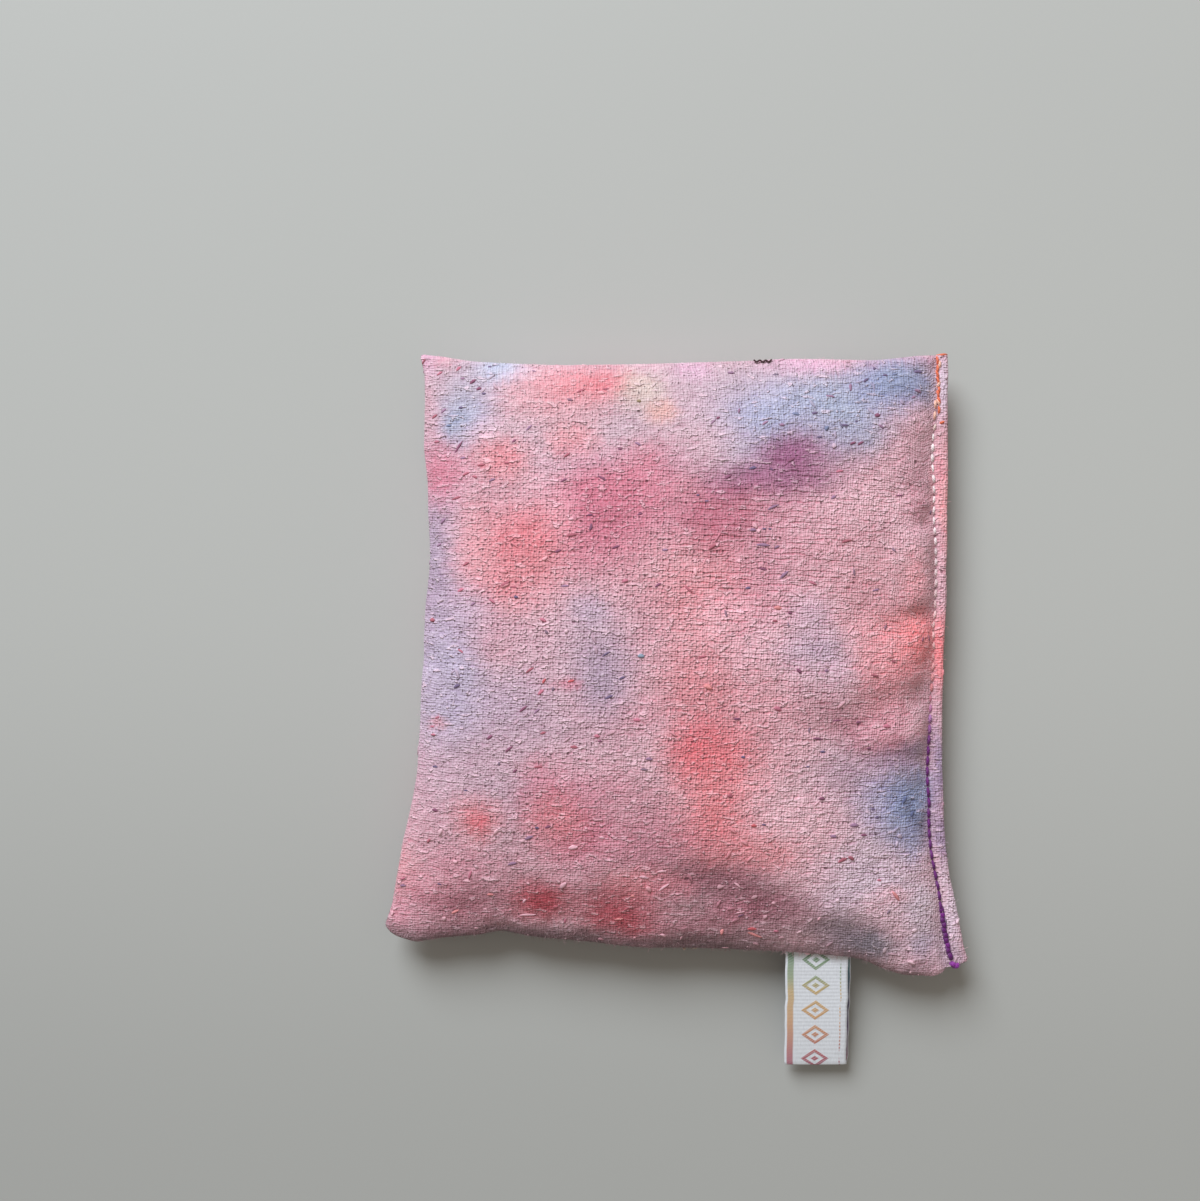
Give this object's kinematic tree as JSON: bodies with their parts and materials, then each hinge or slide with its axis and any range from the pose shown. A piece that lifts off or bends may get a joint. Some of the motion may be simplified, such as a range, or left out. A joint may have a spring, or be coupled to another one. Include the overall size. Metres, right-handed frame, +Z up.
{
  "type": "toss bean bag",
  "caption": "Small flat cloth bag filled with beans, sewn on three sides, closed by a topstitched flange seam, with a folded ribbon label at its foot.",
  "frame": {"origin": "middle of the footprint, label included, on the surface that the bag lies on", "axes": "+Z up, through the front panel; +X towards the topstitched closing seam; +Y towards the head, away from the label"},
  "size_m": [0.1324, 0.1656, 0.0229],
  "materials": {
    "cloth_front": "matte",
    "cloth_back": "matte",
    "beans": "matte",
    "ribbon": "satin",
    "thread_variegated": "satin",
    "thread_dark": "matte"
  },
  "bodies": {
    "bag": {"front_panel": "cloth_front", "back_panel": "cloth_back", "bean_fill": "beans", "label_tail": "ribbon", "closing_needle_thread": "thread_variegated", "closing_bobbin_thread": "thread_variegated", "seam_needle_thread": "thread_dark", "seam_bobbin_thread": "thread_dark"},
    "label": {"label_loop": "ribbon"}
  },
  "joints": [
    {"name": "label_flap", "type": "hinge", "parent": "bag", "child": "label", "pos_m": [0.03342, -0.05877, 0.008], "axis": [-1, 0, 0], "range_deg": [-5, 70]}
  ]
}
